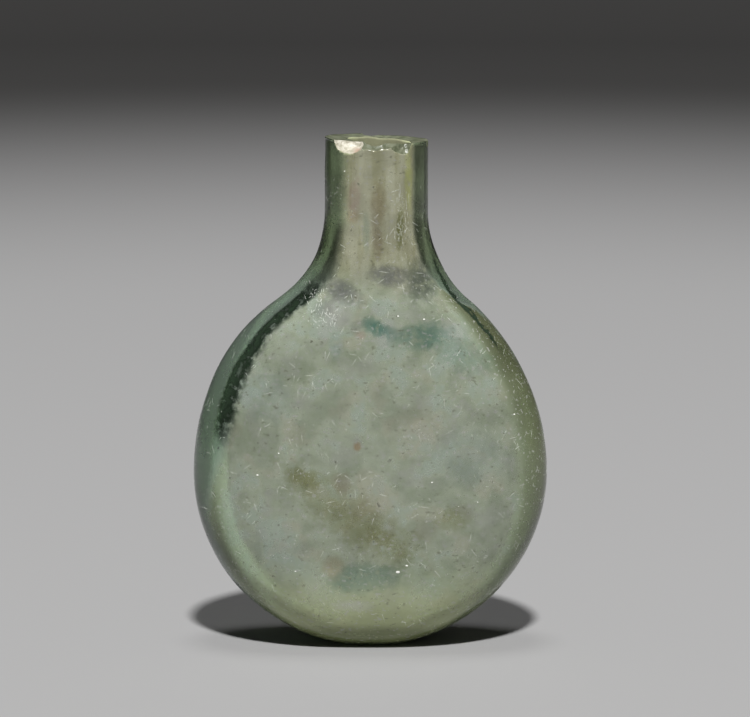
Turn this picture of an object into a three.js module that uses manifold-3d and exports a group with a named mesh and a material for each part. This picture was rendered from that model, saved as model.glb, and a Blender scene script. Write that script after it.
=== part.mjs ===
// A small pilgrim flask of thick free-blown glass, open at the mouth and empty.
// A bubble of glass was pressed into a flattened round body, pulled out into a short neck, and
// broken off the blowing iron, so the rim is rough, uneven and chipped. A small flat under the
// body lets the flask stand. The flask is one piece of glass, so it is one mesh: an outer skin and
// an inner skin that meet at the rim, less the chips.
// Millimetres, +Z up. The origin is on the ground under the middle of the body, and the chipped
// side of the rim faces -Y.
import * as THREE from 'three';
import { mergeVertices } from 'three/addons/utils/BufferGeometryUtils.js';
import Module from 'manifold-3d';

const wasm = await Module();
wasm.setup();

// Body, as the outer skin is seen from the front (width) and from the side (depth)
const bodyWidth = 48.8;
const bodyDepth = 21;
const widestHeight = 23.4; // height of the widest section above the ground
const baseWidth = 10; // the flat that it stands on
const baseDepth = 7;
const frontCrown = 52; // where the front outline would close if there were no neck
const sideCrown = 58;

// Neck
const flaskHeight = 70; // to the highest point of the rim
const neckDiameter = 14.2;
const neckOffset = 0.85; // the neck stands this far to +X of the body's middle
const leanStart = 42; // heights between which the middle line moves over to the neck
const leanEnd = 54;
const frontShoulderRadius = 16; // hollow curve between the body and the neck
const sideShoulderRadius = 20;

// Walls
const neckWall = 2.7;
const sideWall = 4.1; // at the narrow edges of the body
const faceWall = 1.7; // at the flat faces
const baseWall = 2.1;
const shoulderWall = 3; // between the two crowns, measured upright
const cavityFlat = 3; // width and depth of the flat at the bottom of the hollow
const hollowOffset = 0.45; // the hollow lies this far to +X of the middle of the glass

// Rim
const rimFall = 0.6; // the rim is this much lower at +X than at -X
const rimWaver = 0.16; // height of its small waves
const rimWaves = [
  { turns: 5, phase: 0.6 },
  { turns: 8, phase: 2 },
];
const rimBevel = 0.3; // its inner edge is this much lower than its outer edge
const rimReach = 9; // the neck takes up the slant of the rim over this length

// How full each outline is: 2 is a true ellipse, more is squarer and less is more pointed
const ELLIPSE = 2;
const lowerFrontFullness = 2;
const lowerSideFullness = 2.9;
const upperSideFullness = 3;
const faceFullness = 3; // of a level section through the body
const hollowFullness = 2.15; // of a level section through the hollow

// Chips in the rim, each a scoop in the shape of part of an egg. bearing is in degrees from +X,
// in is how far its middle lies inside the outer skin, and size is its radii along the rim,
// through the wall and upright.
const chips = [
  { bearing: 237, in: 0.4, above: 0.5, size: [2.8, 2.7, 2.45] },
  { bearing: 268, in: 1, above: 0.6, size: [3.8, 2.6, 1.95] },
  { bearing: 299, in: -0.7, above: 0.5, size: [2.3, 1.8, 2.4] },
  { bearing: 352, in: -0.55, above: 0.4, size: [1.5, 1, 1.9] },
  { bearing: 95, in: 0.4, above: 0.75, size: [1.8, 1.7, 1.3] },
];

// Fineness of the mesh
const roundSteps = 56;
const lowerRows = 11;
const upperRows = 18;
const neckRows = 6;
const curveSteps = 400;
const halvings = 40; // of the heights between which a shoulder arc's middle lies
const chipSegments = [20, 14];

const midway = (low, high, share) => low + (high - low) * share;
const between = (value, low, high) => Math.min(Math.max(value, low), high);

function smoothStep(low, high, value) {
  const share = between((value - low) / (high - low), 0, 1);
  return share * share * (3 - 2 * share);
}

// Half width of a closed curve at a share of the way from its widest place to its end.
function fullness(half, share, power) {
  return half * Math.pow(Math.max(1 - Math.pow(share, power), 0), 1 / power);
}

// An upright outline: a flat foot, a belly, a hollow shoulder arc and a straight neck. It gives
// the half width at any height. The shoulder arc touches the belly and the neck line, and its
// middle is found by halving the heights between which it must lie.
function outline({ half, foot, bottom, widest, crown, neck, shoulder, lowerPower, upperPower }) {
  const footShare = Math.min(foot / half, 1);
  const lowerReach = (widest - bottom) / Math.pow(1 - Math.pow(footShare, lowerPower), 1 / lowerPower);
  const upperReach = crown - widest;
  const upper = (z) => fullness(half, (z - widest) / upperReach, upperPower);
  const arcX = neck + shoulder;

  function nearest(arcZ) {
    let best = { gap: Infinity, z: widest };
    for (let i = 0; i <= curveSteps; i++) {
      const z = widest + upperReach * Math.sin((Math.PI / 2) * (i / curveSteps));
      const gap = Math.hypot(arcX - upper(z), arcZ - z);
      if (gap < best.gap) best = { gap, z };
    }
    return best;
  }

  let low = widest;
  let high = crown + shoulder;
  for (let i = 0; i < halvings; i++) {
    const middle = (low + high) / 2;
    if (nearest(middle).gap < shoulder) low = middle;
    else high = middle;
  }
  const arcZ = high;
  const touch = nearest(arcZ).z;

  function halfAt(z) {
    if (z <= widest) return fullness(half, (widest - z) / lowerReach, lowerPower);
    if (z <= touch) return upper(z);
    if (z <= arcZ) return arcX - Math.sqrt(Math.max(shoulder * shoulder - (z - arcZ) ** 2, 0));
    return neck;
  }
  return { halfAt, bottom, widest, neckStart: arcZ, neck, half };
}

// One skin of the flask: its outline from the front and from the side, how full its level
// sections are, and how far its middle line lies to +X of the glass's.
function skin({ width, depth, bottom, foot, crowns, neck, shoulders, fullness: full, offset }) {
  const shared = { bottom, widest: widestHeight, neck };
  return {
    full,
    offset,
    front: outline({
      ...shared,
      half: width / 2,
      foot: foot[0] / 2,
      crown: crowns[0],
      shoulder: shoulders[0],
      lowerPower: lowerFrontFullness,
      upperPower: ELLIPSE,
    }),
    side: outline({
      ...shared,
      half: depth / 2,
      foot: foot[1] / 2,
      crown: crowns[1],
      shoulder: shoulders[1],
      lowerPower: lowerSideFullness,
      upperPower: upperSideFullness,
    }),
  };
}

const outer = skin({
  width: bodyWidth,
  depth: bodyDepth,
  bottom: 0,
  foot: [baseWidth, baseDepth],
  crowns: [frontCrown, sideCrown],
  neck: neckDiameter / 2,
  shoulders: [frontShoulderRadius, sideShoulderRadius],
  fullness: faceFullness,
  offset: 0,
});

const inner = skin({
  width: bodyWidth - 2 * sideWall,
  depth: bodyDepth - 2 * faceWall,
  bottom: baseWall,
  foot: [cavityFlat, cavityFlat],
  crowns: [frontCrown - shoulderWall, sideCrown - shoulderWall],
  neck: neckDiameter / 2 - neckWall,
  shoulders: [frontShoulderRadius + neckWall, sideShoulderRadius + neckWall],
  fullness: hollowFullness,
  offset: hollowOffset,
});

// How far the rim lies below flaskHeight at an angle round the neck.
function rimDrop(angle) {
  const slant = (rimFall * (1 + Math.cos(angle))) / 2;
  const sum = rimWaves.reduce((total, { turns, phase }) => total + 1 + Math.sin(turns * angle + phase), 0);
  return slant + (rimWaver * sum) / (2 * rimWaves.length);
}

// A point of a skin. Round the neck a level section is a circle, and in the body it is an oval
// with flattened faces.
function skinPoint({ front, side, full, offset }, height, angle, extraDrop) {
  const halfWidth = front.halfAt(height);
  const halfDepth = side.halfAt(height);
  const bodyShare = between((halfWidth - front.neck) / (front.half - front.neck), 0, 1);
  const power = midway(ELLIPSE, full, height > front.widest ? bodyShare : 1);
  const across = Math.cos(angle);
  const x = Math.sign(across) * Math.pow(Math.abs(across), ELLIPSE / power) * halfWidth;
  const lean = offset + neckOffset * smoothStep(leanStart, leanEnd, height);
  const nearRim = smoothStep(flaskHeight - rimReach, flaskHeight, height);
  const z = height - (rimDrop(angle) + extraDrop) * nearRim;
  return [x + lean, halfDepth * Math.sin(angle), z];
}

// Heights of a skin's rows from its bottom to the rim, closer together where the belly curves in.
function rowHeights({ front: { bottom, widest, neckStart } }) {
  const rows = [];
  for (let i = 0; i < lowerRows; i++) {
    rows.push(midway(bottom, widest, 1 - Math.cos((Math.PI / 2) * (i / lowerRows))));
  }
  for (let i = 0; i < upperRows; i++) rows.push(midway(widest, neckStart, i / upperRows));
  for (let i = 0; i <= neckRows; i++) rows.push(midway(neckStart, flaskHeight, i / neckRows));
  return rows;
}

// The closed surface: up the outer skin from the middle of the base, over the rim and down the
// inner skin to the middle of the hollow's floor.
function flaskSurface() {
  const rings = [
    ...rowHeights(outer).map((height) => ({ of: outer, height, extraDrop: 0 })),
    ...rowHeights(inner).reverse().map((height) => ({ of: inner, height, extraDrop: rimBevel })),
  ];
  const points = [0, 0, 0];
  for (const { of, height, extraDrop } of rings) {
    for (let j = 0; j < roundSteps; j++) {
      points.push(...skinPoint(of, height, (2 * Math.PI * j) / roundSteps, extraDrop));
    }
  }
  points.push(hollowOffset, 0, baseWall);
  const lastPoint = points.length / 3 - 1;
  const at = (ring, j) => 1 + ring * roundSteps + (j % roundSteps);
  const faces = [];
  for (let j = 0; j < roundSteps; j++) {
    faces.push(0, at(0, j + 1), at(0, j));
    for (let i = 0; i + 1 < rings.length; i++) {
      faces.push(at(i, j), at(i, j + 1), at(i + 1, j + 1));
      faces.push(at(i, j), at(i + 1, j + 1), at(i + 1, j));
    }
    faces.push(at(rings.length - 1, j), at(rings.length - 1, j + 1), lastPoint);
  }
  const geometry = new THREE.BufferGeometry();
  geometry.setAttribute('position', new THREE.Float32BufferAttribute(points, 3));
  geometry.setIndex(faces);
  return geometry;
}

// The scoop that a chip took out of the rim.
function chipScoop({ bearing, in: inside, above, size }) {
  const angle = THREE.MathUtils.degToRad(bearing);
  const radius = neckDiameter / 2 - inside;
  const scoop = new THREE.SphereGeometry(1, ...chipSegments);
  scoop.rotateX(Math.PI / 2);
  scoop.scale(size[1], size[0], size[2]);
  scoop.rotateZ(angle);
  const rimHeight = flaskHeight - rimDrop(angle);
  scoop.translate(
    neckOffset + radius * Math.cos(angle),
    radius * Math.sin(angle),
    rimHeight + above,
  );
  return scoop;
}

function toSolid(geometry) {
  const bare = geometry.clone();
  bare.deleteAttribute('normal');
  bare.deleteAttribute('uv');
  const merged = mergeVertices(bare);
  return new wasm.Manifold(
    new wasm.Mesh({
      numProp: 3,
      vertProperties: merged.attributes.position.array,
      triVerts: new Uint32Array(merged.index.array),
    }),
  );
}

function toGeometry(solid) {
  const { vertProperties, triVerts } = solid.getMesh();
  const geometry = new THREE.BufferGeometry();
  geometry.setAttribute('position', new THREE.BufferAttribute(vertProperties, 3));
  geometry.setIndex(new THREE.BufferAttribute(triVerts, 1));
  geometry.computeVertexNormals();
  return geometry;
}

function glassFlask() {
  const whole = toSolid(flaskSurface());
  const chipped = chips.reduce((solid, chip) => solid.subtract(toSolid(chipScoop(chip))), whole);
  const glass = new THREE.MeshStandardMaterial({
    color: 0x7f8f76,
    roughness: 0.22,
    metalness: 0,
    transparent: true,
    opacity: 0.6,
  });
  const mesh = new THREE.Mesh(toGeometry(chipped), glass);
  mesh.name = 'glass_flask';
  return mesh;
}

const flask = new THREE.Group();
flask.add(glassFlask());

export default flask;
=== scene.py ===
# %% [markdown]
# # A small pilgrim flask of old green glass
#
# The flask was blown as a bubble, pressed flat while it was soft, and broken off the iron at the
# neck. Long burial has clouded the inside with a milky film, left soil in the body and chipped
# the rim. The whole vessel is one piece of glass, so the scene makes one fine glass mesh in place
# of the faceted solid, and then what time has put on it and in it.

# %% Load the frame
import math

import bmesh
import bpy
import numpy as np
from mathutils import Matrix, Vector
from mathutils.bvhtree import BVHTree


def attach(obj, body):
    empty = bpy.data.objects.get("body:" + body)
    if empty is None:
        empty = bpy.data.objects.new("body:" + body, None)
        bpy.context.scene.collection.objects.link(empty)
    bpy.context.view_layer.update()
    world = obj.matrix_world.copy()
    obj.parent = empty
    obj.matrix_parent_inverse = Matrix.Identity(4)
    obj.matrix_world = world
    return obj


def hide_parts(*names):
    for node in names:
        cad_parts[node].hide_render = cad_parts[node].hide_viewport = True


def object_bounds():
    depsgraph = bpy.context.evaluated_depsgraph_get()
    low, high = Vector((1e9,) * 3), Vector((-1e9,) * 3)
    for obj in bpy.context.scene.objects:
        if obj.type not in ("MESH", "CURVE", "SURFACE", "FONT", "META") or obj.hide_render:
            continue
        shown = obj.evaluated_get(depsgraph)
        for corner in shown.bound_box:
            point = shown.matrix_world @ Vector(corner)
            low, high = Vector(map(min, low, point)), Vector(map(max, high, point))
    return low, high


MM = 0.001
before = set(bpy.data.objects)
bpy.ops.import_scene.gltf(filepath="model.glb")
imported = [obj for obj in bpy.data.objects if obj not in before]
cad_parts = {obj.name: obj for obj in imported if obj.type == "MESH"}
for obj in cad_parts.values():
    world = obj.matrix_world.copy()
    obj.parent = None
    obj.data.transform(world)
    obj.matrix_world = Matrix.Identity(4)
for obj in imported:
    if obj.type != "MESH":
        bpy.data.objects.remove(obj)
cad_low, cad_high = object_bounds()
print("The solid's box in mm:", [round(v / MM, 2) for v in (*cad_low, *cad_high)])

# %% [markdown]
# ## The camera
#
# The photograph looks a little down on the flask from far away, through a long lens, so the
# outline is nearly that of a plan drawing.

# %% Camera
PHOTO_WIDTH = 750  # pixels
PIXEL = 0.1371 * MM  # what one pixel of the photograph covers at the flask
CAMERA_DISTANCE = 500 * MM
CAMERA_ELEVATION = math.radians(8.45)
AIM = Vector((0.7, 0, 39.3)) * MM

scene = bpy.context.scene


def in_scene(name, data):
    """A new object at the origin, linked to the scene."""
    made = bpy.data.objects.new(name, data)
    scene.collection.objects.link(made)
    return made


camera = in_scene("camera", bpy.data.cameras.new("camera"))
camera.data.lens = camera.data.sensor_width * CAMERA_DISTANCE / (PHOTO_WIDTH * PIXEL)
towards = Vector((0, math.cos(CAMERA_ELEVATION), -math.sin(CAMERA_ELEVATION)))
camera.location = AIM - towards * CAMERA_DISTANCE
camera.rotation_euler = towards.to_track_quat("-Z", "Y").to_euler()
camera.data.clip_start = 0.05
camera.data.clip_end = 20
scene.camera = camera
print("Lens in mm:", round(camera.data.lens, 1))

# %% [markdown]
# ## Formulas as nodes
#
# A node tree is a formula drawn as boxes. This small helper lets a script write the formula with
# plus and times signs, and makes one Math node for each, in a geometry tree and in a material.

# %% Formula helper
class Field:
    """A number that varies over a mesh, held as an output socket of a node tree."""

    def __init__(self, tree, socket):
        self.tree = tree
        self.socket = socket

    def math(self, operation, *others):
        node = self.tree.nodes.new("ShaderNodeMath")
        node.operation = operation
        for slot, value in zip(node.inputs, (self, *others)):
            put(self.tree, value, slot)
        return Field(self.tree, node.outputs[0])

    def __add__(self, other):
        return self.math("ADD", other)

    def __sub__(self, other):
        return self.math("SUBTRACT", other)

    def __mul__(self, other):
        return self.math("MULTIPLY", other)

    def __truediv__(self, other):
        return self.math("DIVIDE", other)

    def __pow__(self, other):
        return self.math("POWER", other)

    def __gt__(self, other):
        return self.math("GREATER_THAN", other)

    def __lt__(self, other):
        return self.math("LESS_THAN", other)

    def under(self, top):
        """The top divided by this value."""
        node = self.tree.nodes.new("ShaderNodeMath")
        node.operation = "DIVIDE"
        put(self.tree, top, node.inputs[0])
        put(self.tree, self, node.inputs[1])
        return Field(self.tree, node.outputs[0])

    def mapped(self, low, high, to_low=0.0, to_high=1.0):
        """The value moved smoothly from one range to another and kept inside it."""
        node = self.tree.nodes.new("ShaderNodeMapRange")
        node.interpolation_type = "SMOOTHSTEP"
        values = {"Value": self, "From Min": low, "From Max": high, "To Min": to_low, "To Max": to_high}
        for name, value in values.items():
            put(self.tree, value, node.inputs[name])
        return Field(self.tree, node.outputs[0])


def put(tree, value, slot):
    """Gives a socket a value: a field, another socket, or a plain number or colour."""
    if isinstance(value, Field):
        tree.links.new(value.socket, slot)
    elif isinstance(value, bpy.types.NodeSocket):
        tree.links.new(value, slot)
    else:
        slot.default_value = value


def add(tree, kind, settings=None, **inputs):
    """A node of that kind, with its settings and inputs. An input is named with _ for a space."""
    node = tree.nodes.new(kind)
    for name, value in (settings or {}).items():
        setattr(node, name, value)
    for name, value in inputs.items():
        put(tree, value, node.inputs[name.replace("_", " ")])
    return node


print("Formula helper ready")

# %% [markdown]
# ## The outline of the flask
#
# Seen from the front, the flask is a round belly, a hollow shoulder and a straight neck. Seen from
# the side it is a thin version of the same. Both outlines are ellipse-like curves joined to the
# neck by an arc that touches both, and the inside has the same outlines less the wall. Every size
# here is that of the solid, so that the fine mesh keeps its form.

# %% Sizes of the flask
BODY_WIDTH = cad_high.x - cad_low.x
BODY_DEPTH = 21 * MM
FLASK_HEIGHT = 70 * MM
WIDEST_HEIGHT = 23.4 * MM
FOOT = (10 * MM, 7 * MM)  # width and depth of the flat that it stands on
CROWNS = (52 * MM, 58 * MM)  # where the front and side outlines would close without a neck
SHOULDER_RADII = (16 * MM, 20 * MM)
NECK_RADIUS = 7.1 * MM
NECK_OFFSET = 0.85 * MM
LEAN_START, LEAN_END = 42 * MM, 54 * MM
NECK_WALL = 2.7 * MM
HOLLOW_SHIFT = 0.45 * MM  # the hollow lies this far to +X of the middle of the glass
SIDE_WALL = 4.1 * MM
FACE_WALL = 1.7 * MM
BASE_WALL = 2.1 * MM
SHOULDER_WALL = 3 * MM
HOLLOW_FOOT = (3 * MM, 3 * MM)
RIM_FALL = 0.6 * MM
RIM_WAVER = 0.16 * MM
RIM_WAVES = ((5, 0.6), (8, 2))  # how many waves go round the rim, and where each set starts
RIM_BEVEL = 0.3 * MM
RIM_REACH = 9 * MM
ELLIPSE = 2.0
LOWER_FULLNESS = (2.0, 2.9)
UPPER_FULLNESS = (2.0, 3.0)
FACE_FULLNESS = 3.0
HOLLOW_FULLNESS = 2.15


def fullness(half, share, power):
    """Half width of a closed curve, a share of the way from its widest place to its end."""
    return half * np.maximum(1 - np.power(share, power), 0) ** (1 / power)


def outline(half, foot, bottom, crown, neck, shoulder, lower_power, upper_power):
    """The half width at each height of an upright outline, and where its neck starts."""
    down = (WIDEST_HEIGHT - bottom) / (1 - (foot / half) ** lower_power) ** (1 / lower_power)
    up = crown - WIDEST_HEIGHT
    arc_x = neck + shoulder
    belly = WIDEST_HEIGHT + up * np.sin(np.linspace(0, math.pi / 2, 800))
    belly_half = fullness(half, (belly - WIDEST_HEIGHT) / up, upper_power)
    low, high = WIDEST_HEIGHT, crown + shoulder
    for _ in range(40):
        middle = (low + high) / 2
        gap = np.hypot(arc_x - belly_half, middle - belly)
        low, high = (middle, high) if gap.min() < shoulder else (low, middle)
    touch = belly[np.hypot(arc_x - belly_half, high - belly).argmin()]

    def half_at(z):
        if z <= WIDEST_HEIGHT:
            return float(fullness(half, max(WIDEST_HEIGHT - z, 0) / down, lower_power))
        if z <= touch:
            return float(fullness(half, (z - WIDEST_HEIGHT) / up, upper_power))
        if z <= high:
            return arc_x - math.sqrt(max(shoulder**2 - (z - high) ** 2, 0))
        return neck

    return half_at, high


def skin(width, depth, bottom, foot, crown_drop, neck, growth, full, shift):
    """The front and side outlines of one skin, outer or inner."""
    sizes = zip((width, depth), foot, CROWNS, SHOULDER_RADII, LOWER_FULLNESS, UPPER_FULLNESS)
    front, side = (
        outline(size / 2, stand / 2, bottom, crown - crown_drop, neck, radius + growth, low, high)
        for size, stand, crown, radius, low, high in sizes
    )
    return {
        "front": front[0],
        "side": side[0],
        "neck_start": front[1],
        "bottom": bottom,
        "fullness": full,
        "shift": shift,
    }


outer = skin(BODY_WIDTH, BODY_DEPTH, 0, FOOT, 0, NECK_RADIUS, 0, FACE_FULLNESS, 0)
inner = skin(
    BODY_WIDTH - 2 * SIDE_WALL,
    BODY_DEPTH - 2 * FACE_WALL,
    BASE_WALL,
    HOLLOW_FOOT,
    SHOULDER_WALL,
    NECK_RADIUS - NECK_WALL,
    NECK_WALL,
    HOLLOW_FULLNESS,
    HOLLOW_SHIFT,
)
print("The neck starts at", round(outer["neck_start"] / MM, 1), "mm outside")

# %% [markdown]
# ## The rail
#
# A rail is a line of points that runs up the outer skin, over the rim and down the inner skin.
# Each point says how wide, how deep and how high the ring at that place is: its X is the ring's
# half width, its Y the half depth and its Z the height. A ring's fullness says how flat its faces
# are. Geometry Nodes then turn each point into a ring.

# %% Rail
ROUND_STEPS = 224
LOWER_ROWS, UPPER_ROWS, NECK_ROWS = 60, 64, 36
RIM_ROWS = 7


def row_heights(side, top):
    """Heights of a skin's rows, closer together where the belly curves in below."""
    start, turn, neck = side["bottom"], WIDEST_HEIGHT, side["neck_start"]
    lower = start + (turn - start) * (1 - np.cos(np.linspace(0, math.pi / 2, LOWER_ROWS)))
    upper = np.linspace(turn, neck, UPPER_ROWS)[1:]
    straight = np.linspace(neck, top, NECK_ROWS)[1:]
    return [*lower, *upper, *straight]


def ring(side, z, inset=0.0):
    """Half width, half depth and height of a ring, how flat its faces are, and its shift to +X."""
    wide, deep = side["front"](z), side["side"](z)
    neck, full = side["front"](FLASK_HEIGHT), side["front"](WIDEST_HEIGHT)
    share = min(max((wide - neck) / (full - neck), 0), 1) if z > WIDEST_HEIGHT else 1
    flat = ELLIPSE + (side["fullness"] - ELLIPSE) * share
    return (max(wide - inset, 0), max(deep - inset, 0), z, flat, side["shift"])


def glass_rail():
    """Up the outer skin, over the rim and down the inner skin."""
    outside = [ring(outer, z) for z in row_heights(outer, FLASK_HEIGHT)]
    inside = [ring(inner, z) for z in row_heights(inner, FLASK_HEIGHT - RIM_BEVEL)]
    edge = []
    for share in np.linspace(0, 1, RIM_ROWS + 2)[1:-1]:
        radius = NECK_RADIUS - NECK_WALL * share
        edge.append((radius, radius, FLASK_HEIGHT - RIM_BEVEL * share, ELLIPSE, HOLLOW_SHIFT * share))
    first = [(0, 0, 0, ELLIPSE, 0)]
    last = [(0, 0, BASE_WALL, ELLIPSE, HOLLOW_SHIFT)]
    return first + outside + edge + inside[::-1] + last


def rail_object(name, rows):
    """A line of loose points that carries the rings' sizes for Geometry Nodes."""
    mesh = bpy.data.meshes.new(name)
    mesh.from_pydata([row[:3] for row in rows], [], [])
    for name, column in (("flat", 3), ("shift", 4)):
        values = mesh.attributes.new(name, "FLOAT", "POINT")
        values.data.foreach_set("value", [row[column] for row in rows])
    return in_scene(name, mesh)


flask_rows = glass_rail()
print(len(flask_rows), "rings in the glass")

# %% [markdown]
# ## From rail to skin
#
# The tree makes a plain grid, one row for each rail point, and bends it round: the grid's own X
# picks the ring, and its Y is the angle. The neck leans a little, and the rim slants and wavers.
# Merging the doubled points closes the seam and both ends, so the skin is one closed surface.

# %% Skin tree
SKIN_SOCKETS = {
    "Around": ROUND_STEPS,
    "Height": FLASK_HEIGHT,
    "Lean": NECK_OFFSET,
    "Lean Start": LEAN_START,
    "Lean End": LEAN_END,
    "Rim Fall": RIM_FALL,
    "Rim Waver": RIM_WAVER,
    "Rim Reach": RIM_REACH,
}
CLOSE = 0.001 * MM  # points nearer than this are one point


def new_tree(name, sockets):
    """An empty Geometry Nodes tree with a geometry in and out, and the named inputs."""
    tree = bpy.data.node_groups.new(name, "GeometryNodeTree")
    face = tree.interface
    face.new_socket("Geometry", in_out="INPUT", socket_type="NodeSocketGeometry")
    face.new_socket("Geometry", in_out="OUTPUT", socket_type="NodeSocketGeometry")
    for label, value in sockets.items():
        kind = "NodeSocketInt" if isinstance(value, int) else "NodeSocketFloat"
        face.new_socket(label, in_out="INPUT", socket_type=kind).default_value = value
    inputs = tree.nodes.new("NodeGroupInput").outputs
    result = tree.nodes.new("NodeGroupOutput").inputs[0]
    return tree, inputs, result


def three_parts(tree, vector):
    """A vector's X, Y and Z as three fields."""
    parts = add(tree, "ShaderNodeSeparateXYZ", Vector=vector)
    return [Field(tree, parts.outputs[axis]) for axis in "XYZ"]


def position(tree):
    """The place of each point, as three fields."""
    return three_parts(tree, add(tree, "GeometryNodeInputPosition").outputs[0])


def normal(tree):
    """The direction straight out of the skin at each point."""
    return add(tree, "GeometryNodeInputNormal").outputs[0]


def sampled(tree, inputs, kind, value, row):
    """A value of the rail at that row."""
    node = add(tree, "GeometryNodeSampleIndex", {"data_type": kind}, Geometry=inputs["Geometry"], Index=row)
    put(tree, value, node.inputs["Value"])
    return node.outputs["Value"]


def attribute(tree, name):
    """The rail's value of that name."""
    node = add(tree, "GeometryNodeInputNamedAttribute", {"data_type": "FLOAT"}, Name=name)
    return node.outputs["Attribute"]


def wave(angle, turns, phase):
    """A wave with that many turns round the ring."""
    return (angle * turns + phase).math("SINE")


def bend_grid(tree, inputs):
    """Nodes that bend a grid into the closed skin that the rail describes."""
    of_mesh = {"component": "MESH"}
    rail = add(tree, "GeometryNodeAttributeDomainSize", of_mesh, Geometry=inputs["Geometry"])
    rings = Field(tree, rail.outputs["Point Count"])
    steps = Field(tree, inputs["Around"]) + 1
    grid = add(tree, "GeometryNodeMeshGrid", Vertices_X=rings, Vertices_Y=steps, Size_X=1.0, Size_Y=1.0)
    along, round_share, _ = position(tree)
    row = ((along + 0.5) * (rings - 1)).math("ROUND")
    angle = (round_share + 0.5) * (2 * math.pi)

    place = add(tree, "GeometryNodeInputPosition").outputs[0]
    wide, deep, high = three_parts(tree, sampled(tree, inputs, "FLOAT_VECTOR", place, row))
    flat = Field(tree, sampled(tree, inputs, "FLOAT", attribute(tree, "flat"), row))
    shift = Field(tree, sampled(tree, inputs, "FLOAT", attribute(tree, "shift"), row))

    across = angle.math("COSINE")
    bulge = across.math("ABSOLUTE") ** flat.under(ELLIPSE)
    lean = high.mapped(inputs["Lean Start"], inputs["Lean End"]) * inputs["Lean"]
    x = across.math("SIGN") * bulge * wide + lean + shift
    y = angle.math("SINE") * deep
    slant = (across + 1) * inputs["Rim Fall"] * 0.5
    waves = wave(angle, *RIM_WAVES[0]) + wave(angle, *RIM_WAVES[1])
    waver = (waves + 2) * inputs["Rim Waver"] * 0.25
    top = Field(tree, inputs["Height"])
    z = high - (slant + waver) * high.mapped(top - inputs["Rim Reach"], top)
    bent = add(tree, "ShaderNodeCombineXYZ", X=x, Y=y, Z=z)
    marked = add(
        tree,
        "GeometryNodeStoreNamedAttribute",
        {"data_type": "FLOAT", "domain": "POINT"},
        Geometry=grid.outputs["Mesh"],
        Name="across",
        Value=across,
    )
    moved = add(tree, "GeometryNodeSetPosition", Geometry=marked.outputs[0], Position=bent.outputs[0])
    merged = add(tree, "GeometryNodeMergeByDistance", Geometry=moved.outputs[0], Distance=CLOSE)
    return add(tree, "GeometryNodeFlipFaces", Mesh=merged.outputs[0]).outputs[0]


def noise(tree, scale, stretch=(1, 1, 1), detail=2.0, seed=0.0):
    """A noise over the mesh, from 0 to 1. Scale is in bumps for each metre."""
    place = add(tree, "GeometryNodeInputPosition").outputs[0]
    scaled = add(tree, "ShaderNodeVectorMath", {"operation": "MULTIPLY"})
    put(tree, place, scaled.inputs[0])
    put(tree, stretch, scaled.inputs[1])
    place = scaled.outputs[0]
    settings = {"noise_dimensions": "4D"}
    made = add(tree, "ShaderNodeTexNoise", settings, Vector=place, Scale=scale, Detail=detail, W=seed)
    return Field(tree, made.outputs[0])


def push(tree, geometry, amount):
    """Moves each point along its normal by that amount."""
    offset = add(tree, "ShaderNodeVectorMath", {"operation": "SCALE"}, Scale=amount)
    put(tree, normal(tree), offset.inputs[0])
    return add(tree, "GeometryNodeSetPosition", Geometry=geometry, Offset=offset.outputs[0]).outputs[0]


print("Skin nodes ready")

# %% [markdown]
# ## Helpers for materials
#
# A material is a formula too. It reads the place on the object and where on its ring a place lies,
# makes noise of them, and lays one colour over another.

# %% Material helpers
def new_material(name, **values):
    """A material with one Principled shader, plain values set on the shader's own sockets."""
    made = bpy.data.materials.new(name)
    made.use_nodes = True
    tree = made.node_tree
    shader = tree.nodes["Principled BSDF"]
    for label, value in values.items():
        shader.inputs[label.replace("_", " ")].default_value = value
    return made, tree, shader


def object_place(tree, stretch=(1, 1, 1), shift=0.0):
    """The place on the object, stretched, and shifted so that each noise differs."""
    place = add(tree, "ShaderNodeTexCoord").outputs["Object"]
    mapping = add(tree, "ShaderNodeMapping", Vector=place)
    mapping.inputs["Scale"].default_value = stretch
    mapping.inputs["Location"].default_value = (shift, shift, shift)
    return mapping.outputs[0]


def object_axes(tree):
    """The place on the object, as three fields in metres."""
    return three_parts(tree, object_place(tree))


def ring_side(tree):
    """Where on its ring a place lies: -1 at the left edge, 0 on the faces and 1 at the right edge."""
    return Field(tree, add(tree, "ShaderNodeAttribute", {"attribute_name": "across"}).outputs["Fac"])


def cloud(tree, scale, stretch=(1, 1, 1), detail=4.0, rough=0.5, seed=0.0):
    """Noise in a material, from about 0 to 1. Scale is in bumps for each metre."""
    place = object_place(tree, stretch, seed)
    made = add(tree, "ShaderNodeTexNoise", Vector=place, Scale=scale, Detail=detail, Roughness=rough)
    return Field(tree, made.outputs[0])


def blend(tree, share, first, second):
    """A colour between two others."""
    mix = tree.nodes.new("ShaderNodeMix")
    mix.data_type = "RGBA"
    put(tree, share, mix.inputs["Factor"])
    put(tree, first, mix.inputs[6])
    put(tree, second, mix.inputs[7])
    return mix.outputs[2]


def layered(tree, colour, layers):
    """The colour with the layers over it, each a share and a tint."""
    for share, tint in layers:
        colour = blend(tree, share, colour, tint)
    return colour


def bumped(tree, shader, height, strength, depth):
    """Gives the shader a fine relief."""
    bump = add(tree, "ShaderNodeBump", Height=height, Strength=strength, Distance=depth)
    put(tree, bump.outputs[0], shader.inputs["Normal"])


def rgb(red, green, blue):
    """A colour of light, each part from 0 to 1."""
    return (red, green, blue, 1.0)


print("Material helpers ready")
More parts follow.
